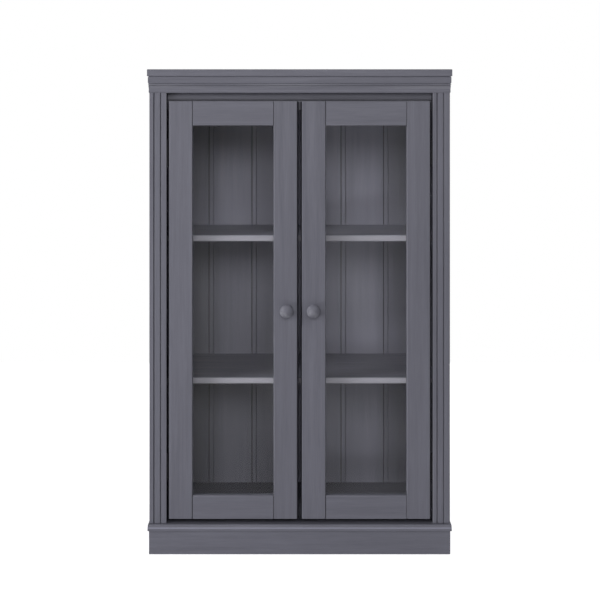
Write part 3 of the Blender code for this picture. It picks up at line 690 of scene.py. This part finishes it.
# %% The beaded back boards
BEAD = 0.0145
QUIRK = 0.0013
QUIRK_DEPTH = 0.0045
V_EDGE = 0.0014
V_DEPTH = 0.0028
TONGUE = 0.005
TONGUE_HALF = 0.0015
SLOT_HALF = 0.0018
for number in range(1, 7):
    low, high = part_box("back_board_%d" % number)
    left, right = low[0], high[0] - (TONGUE if number < 6 else 0.0)
    face, rear = low[1], high[1]
    mid = (face + rear) / 2
    plan = [(left, rear)]
    if number > 1:
        plan += [(left, mid + SLOT_HALF), (left + TONGUE, mid + SLOT_HALF)]
        plan += [(left + TONGUE, mid - SLOT_HALF), (left, mid - SLOT_HALF)]
    plan += [(left, face + V_DEPTH), (left + V_EDGE, face)]
    if number < 6:
        plan += [(right - BEAD - QUIRK, face), (right - BEAD - QUIRK * 0.67, face + QUIRK_DEPTH)]
        plan += [(right - BEAD + QUIRK * 0.67, face + QUIRK_DEPTH), (right - BEAD + QUIRK, face)]
    plan += [(right - V_EDGE, face), (right, face + V_DEPTH)]
    if number < 6:
        plan += [(right, mid - TONGUE_HALF), (high[0], mid - TONGUE_HALF)]
        plan += [(high[0], mid + TONGUE_HALF), (right, mid + TONGUE_HALF)]
    plan.append((right, rear))
    board = pushed([(x, y, low[2]) for x, y in plan], (0.0, 0.0, high[2] - low[2]))
    soft = long_edges(board, 2, lambda m: m.y < face + TOUCH)
    round_edges(board, soft, 0.0003, 2)
    wear_and_highlight = board.faces.layers.float["wear_and_highlight"]
    for side in board.faces:
        side[wear_and_highlight] = 0.0
        # Painted shade: faces deep in the quirks and the tongue joints get the nearly black paint.
        cut = side.calc_center_median().y > face + QUIRK_DEPTH / 2 - 0.0005
        side.material_index = 2 if side.normal.y > 0.5 or abs(side.normal.z) > 0.5 else 1 if cut else 0
    put("beaded_back_%d" % number, board, "cabinet", ["back_board_%d" % number],
        [back_paint, joint_shade_paint, upright_paint])
print("six back boards,", round((high[2] - low[2]) * 1000), "mm tall")

# %% [markdown]
# ## Shelves
# The shelves are thick boards with softly rounded front edges. In the picture these edges are paler than the
# rest, so their faces get a paler paint of their own. Cleats on the sides carry the shelves.

# %% Two shelves on four cleats
for node in ("shelf_lower", "shelf_upper"):
    shelf = board_in(node)
    low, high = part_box(node)
    round_edges(shelf, long_edges(shelf, 0, lambda m: m.y < low[1] + TOUCH), 0.0018, 4)
    for face in shelf.faces:
        face.material_index = 1 if face.normal.y < -0.85 else 0
    put("rubbed_" + node, shelf, "cabinet", [node], [shelf_paints[node], shelf_edge_paint])
for node in ("lower_cleat_left", "lower_cleat_right", "upper_cleat_left", "upper_cleat_right"):
    cleat = board_in(node)
    low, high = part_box(node)
    inner = min(low[0], high[0], key=abs)
    corner = long_edges(cleat, 2, lambda m: m.y < low[1] + TOUCH and abs(m.x - inner) < TOUCH)
    round_edges(cleat, corner, 0.004, 1)
    ease(cleat, 0.0006)
    put("eased_" + node, cleat, "cabinet", [node], [deep_paint])

# %% [markdown]
# ## Crown
# The crown is a strip of moulding under a flat cornice board: from below, a shallow hollow, a bead between two
# quirks, a plain band, and a dark quirk under the cornice. It goes round three sides with mitred corners.

# %% The crown moulding
crown_low, crown_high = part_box("crown_front")
foot, rise = crown_low[2], crown_high[2] - crown_low[2]
CROWN_DEPTH = 0.024
# Painted highlight: the top of the hollow and the bead get 0.7 of the paler mix, where light falls on them.
PALER = 0.7
PAINTED_HIGHLIGHT_BANDS = ((0.26, 0.41), (0.445, 0.535))
FILLET = [(0.0010, 0.0), (0.0010, 0.030), (0.0018, 0.050), (0.0018, 0.110)]
HOLLOW = [(0.0015, 0.150), (0.0014, 0.190), (0.0015, 0.240), (0.0018, 0.310), (0.0023, 0.375), (0.0026, 0.400)]
BEADED = [(0.0026, 0.415), (0.0008, 0.420), (0.0008, 0.440), (0.0022, 0.446), (0.0030, 0.462), (0.0032, 0.490),
          (0.0030, 0.516), (0.0022, 0.532), (0.0010, 0.538), (0.0010, 0.560)]
BAND = [(0.0032, 0.566), (0.0036, 0.620), (0.0039, 0.700), (0.0039, 0.945), (0.0022, 0.960), (0.0022, 1.0)]
section = [(out, foot + share * rise) for out, share in FILLET + HOLLOW + BEADED + BAND]
section += [(-CROWN_DEPTH, foot + rise), (-CROWN_DEPTH, foot)]
runs = [("front", front_run(section, face_y), across_paint, "paint_across")]
runs += [("left", side_run(section, face_y, -1), deep_paint, "paint_deep")]
runs += [("right", side_run(section, face_y, 1), deep_paint, "paint_deep")]
for label, crown, finish, slot in runs:
    for face in crown.faces:
        share = (face.calc_center_median().z - foot) / rise
        paler = any(start < share < end for start, end in PAINTED_HIGHLIGHT_BANDS)
        face[crown.faces.layers.float["wear_and_highlight"]] = PALER if paler else 0.0
    put("moulded_crown_" + label, crown, "cabinet", ["crown_" + label], [finish])
print("crown is", round(rise * 1000, 1), "mm high")

# %% The cornice board
cornice = board_in("cornice_board")
low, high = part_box("cornice_board")
rim = long_edges(cornice, 0, lambda m: m.z > high[2] - TOUCH and m.y < low[1] + TOUCH)
rim += long_edges(cornice, 1, lambda m: m.z > high[2] - TOUCH)
round_edges(cornice, rim, 0.002, 4)
ease(cornice, 0.0008)
for face in cornice.faces:
    face[cornice.faces.layers.float["wear_and_highlight"]] = 0.0
put("rounded_cornice", cornice, "cabinet", ["cornice_board"], [across_paint])
print("cornice is", round((high[0] - low[0]) * 1000), "mm wide")

# %% [markdown]
# ## Doors
# Each door is a frame of two stiles and two rails round a pane. The edge that faces the glass is chamfered, and
# the glass lies in a groove behind it. The stiles run the full height and the rails stop against them, which
# leaves a fine upright line at each joint.

# %% Stiles
SIGHT = 0.002
OUTER = {"hinge": (0.004, 0.004), "lock": (0.005, 0.009)}
REAR_EDGE = 0.0015
# The share of the outer chamfer, from its back, that gets the painted gap shade.
GAP_SHADE_SHARE = 0.6
SLANT = (0.3, 0.95)
GROOVE = (0.0077, 0.0123)
GROOVE_DEPTH = 0.010
for label, side in (("left", -1), ("right", 1)):
    for kind in ("hinge", "lock"):
        node = "%s_%s_stile" % (label, kind)
        low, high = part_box(node)
        inwards = -side if kind == "hinge" else side
        outer, inner = (low[0], high[0]) if inwards > 0 else (high[0], low[0])
        y, rear = low[1], high[1]
        across, depth = OUTER[kind]
        plan = [(outer + inwards * across, y), (inner - inwards * SIGHT, y), (inner, y + SIGHT)]
        plan += [(inner, y + GROOVE[0]), (inner - inwards * GROOVE_DEPTH, y + GROOVE[0])]
        plan += [(inner - inwards * GROOVE_DEPTH, y + GROOVE[1]), (inner, y + GROOVE[1])]
        plan += [(inner, rear - REAR_EDGE), (inner - inwards * REAR_EDGE, rear)]
        plan += [(outer, rear), (outer, y + depth)]
        plan.append((outer + inwards * across * GAP_SHADE_SHARE, y + depth * (1 - GAP_SHADE_SHARE)))
        stile = pushed([(a, b, low[2]) for a, b in plan], (0.0, 0.0, high[2] - low[2]))
        ease(stile, 0.0006)
        # Painted shade: the deep part of the outer chamfer, in the gap, gets the nearly black paint.
        for face in stile.faces:
            way, spot = face.normal, face.calc_center_median()
            slanted = SLANT[0] < -way.x * inwards < SLANT[1] and abs(way.z) < 0.1
            in_gap = slanted and way.y < 0.0 and abs(spot.x - outer) < across * GAP_SHADE_SHARE
            face.material_index = 1 if in_gap else 0
        put("eased_" + node, stile, label + "_door", [node], [upright_paint, gap_shade_paint])
print("stiles are", round((high[0] - low[0]) * 1000, 1), "mm wide")

# %% Rails
RAIL_GAP = 0.0005
for label, side in (("left", -1), ("right", 1)):
    edges = [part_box("%s_%s_stile" % (label, kind)) for kind in ("hinge", "lock")]
    start = min(box[1][0] for box in edges) + RAIL_GAP
    end = max(box[0][0] for box in edges) - RAIL_GAP
    for kind, up in (("bottom", 1), ("top", -1)):
        node = "%s_%s_rail" % (label, kind)
        low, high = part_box(node)
        sight, outer = (high[2], low[2]) if up > 0 else (low[2], high[2])
        y, rear = low[1], high[1]
        section = [(y, outer), (y, sight - up * SIGHT), (y + SIGHT, sight), (y + GROOVE[0], sight)]
        section += [(y + GROOVE[0], sight - up * GROOVE_DEPTH), (y + GROOVE[1], sight - up * GROOVE_DEPTH)]
        section += [(y + GROOVE[1], sight), (rear - REAR_EDGE, sight)]
        section += [(rear, sight - up * REAR_EDGE), (rear, outer)]
        rail = pushed([(start, b, c) for b, c in section], (end - start, 0.0, 0.0))
        ease(rail, 0.0005)
        # Painted shade: the rail ends, in the joint lines, get the nearly black paint.
        for face in rail.faces:
            face.material_index = 1 if abs(face.normal.x) > 0.3 else 0
        put("eased_" + node, rail, label + "_door", [node], [across_paint, joint_shade_paint])
print("rails span", round((end - start) * 1000, 1), "mm between the stiles")

# %% Panes
for label in ("left", "right"):
    pane_bm = board_in(label + "_glass")
    round_edges(pane_bm, pane_bm.edges[:], 0.0003, 1)
    put("clear_" + label + "_pane", pane_bm, label + "_door", [label + "_glass"], [glass])

# %% [markdown]
# ## Knobs
# The knobs are turned on a lathe, so the natural tool is spin: half of the outline is drawn from the foot to
# the middle of the face and turned once round its axis. The small hollow in the middle is the mark that the
# lathe's centre leaves. In the picture the knobs are paler at the lower left, so a highlight is painted there.

# %% Turn the knobs


def turn(bm, outline, centre, axis, steps):
    """Spins an outline of (distance along the axis, radius) pairs round an axis."""
    axis = Vector(axis)
    out = axis.orthogonal().normalized()
    points = [bm.verts.new(centre + axis * along + out * radius) for along, radius in outline]
    line = [bm.edges.new(pair) for pair in zip(points, points[1:])]
    bmesh.ops.spin(bm, geom=points + line, cent=centre, axis=axis, angle=2 * math.pi, steps=steps,
                   use_merge=True)


def finish_turning(bm):
    bmesh.ops.remove_doubles(bm, verts=bm.verts[:], dist=1e-6)
    bmesh.ops.recalc_face_normals(bm, faces=bm.faces[:])
    for face in bm.faces:
        face.smooth = True


KNOB_FOOT = [(0.0003, 0.0), (0.0003, 0.0103), (0.0008, 0.0106), (0.0028, 0.0106), (0.0034, 0.0103),
             (0.0048, 0.0091)]
KNOB_NECK = [(0.0070, 0.0082), (0.0096, 0.0080), (0.0118, 0.0086), (0.0136, 0.0103), (0.0154, 0.0134),
             (0.0170, 0.0167)]
KNOB_RIM = [(0.0183, 0.0187), (0.0198, 0.0198), (0.0214, 0.0200), (0.0230, 0.0195), (0.0246, 0.0184),
            (0.0262, 0.0165)]
KNOB_FACE = [(0.0277, 0.0142), (0.0293, 0.0112), (0.0306, 0.0079), (0.0316, 0.0044), (0.0320, 0.0026),
             (0.0319, 0.0019), (0.0314, 0.0012), (0.0311, 0.0005), (0.0310, 0.0)]
HIGHLIGHT_SLANT = 1.3
KNOB_HIGHLIGHT = (0.3, 0.9)
FACE_START = 0.018
for label in ("left", "right"):
    low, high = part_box(label + "_knob")
    centre = Vector(((low[0] + high[0]) / 2, face_y, (low[2] + high[2]) / 2))
    knob = begin()
    turn(knob, KNOB_FOOT + KNOB_NECK + KNOB_RIM + KNOB_FACE, centre, (0.0, -1.0, 0.0), 64)
    finish_turning(knob)
    wear_and_highlight = knob.faces.layers.float["wear_and_highlight"]
    for face in knob.faces:
        spot = face.calc_center_median() - centre
        # Painted highlight: the face is paler toward its lower left, where light from below on the left falls.
        lower_left = -(spot.x + HIGHLIGHT_SLANT * spot.z) / KNOB_RIM[2][1]
        paler_share = min(1.0, max(0.0, KNOB_HIGHLIGHT[0] + KNOB_HIGHLIGHT[1] * lower_left))
        face[wear_and_highlight] = paler_share if spot.y < -FACE_START else 0.0
    put("turned_" + label + "_knob", knob, label + "_door", [label + "_knob"], [knob_paint],
        50)
print("knobs at", [round(v, 4) for v in centre])

# %% [markdown]
# ## Fittings
# Hinges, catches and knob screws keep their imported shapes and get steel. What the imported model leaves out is
# added here: a small screw in each hole of the hinge leaves, and the pins that hold the back boards.

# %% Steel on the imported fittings
for name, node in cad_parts.items():
    finish = None
    if "leaf" in name or "hinge_pin" in name:
        finish = dark_steel
    elif "magnet" in name or "strike" in name or "screw" in name:
        finish = zinc_steel
    if finish:
        node.data.materials.clear()
        node.data.materials.append(finish)
print("fittings done")

# %% Screws in the hinge leaves
SCREW = [(-0.0060, 0.0), (-0.0060, 0.0009), (-0.0009, 0.0010), (-0.0003, 0.0015), (0.0, 0.0015),
         (0.0001, 0.0013), (0.00015, 0.0007), (-0.0003, 0.0005), (-0.0003, 0.0)]
LEAF_HOLES = {"door": 0.029, "frame": 0.018}
HOLE_DEPTH = 0.01175
PLATE = 0.0013
for owner in ("left_door", "right_door", "cabinet"):
    screws = begin()
    for label, side in (("left", -1), ("right", 1)):
        if owner not in (label + "_door", "cabinet"):
            continue
        kind = "frame" if owner == "cabinet" else "door"
        faces = side if kind == "door" else -side
        for level in ("lower", "upper"):
            low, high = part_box("%s_%s_hinge_pin" % (label, level))
            middle = (Vector(low) + Vector(high)) / 2
            for step in (-1, 1):
                rise = step * LEAF_HOLES[kind]
                spot = Vector((middle.x - faces * PLATE, face_y + HOLE_DEPTH, middle.z + rise))
                turn(screws, SCREW, spot, (faces, 0.0, 0.0), 16)
    finish_turning(screws)
    put(owner + "_hinge_screws", screws, owner, [], [zinc_steel], 50)
print("hinge screws in", made[-1].name)

# %% Pins through the back boards
PIN = [(-0.012, 0.0), (-0.0115, 0.0007), (-0.0006, 0.0008), (0.0, 0.0019), (0.0002, 0.0019), (0.0004, 0.0014),
       (0.0004, 0.0)]
PIN_LEVELS = (0.076, 1.323)
PIN_SHARES = (0.22, 0.74)
pins = begin()
for number in range(1, 7):
    low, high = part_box("back_board_%d" % number)
    for share in PIN_SHARES:
        across = low[0] + share * (high[0] - low[0])
        for level in PIN_LEVELS:
            turn(pins, PIN, Vector((across, high[1], level)), (0.0, 1.0, 0.0), 12)
finish_turning(pins)
put("back_board_pins", pins, "cabinet", [], [zinc_steel], 50)
print("pins in the back:", 6 * len(PIN_SHARES) * len(PIN_LEVELS))
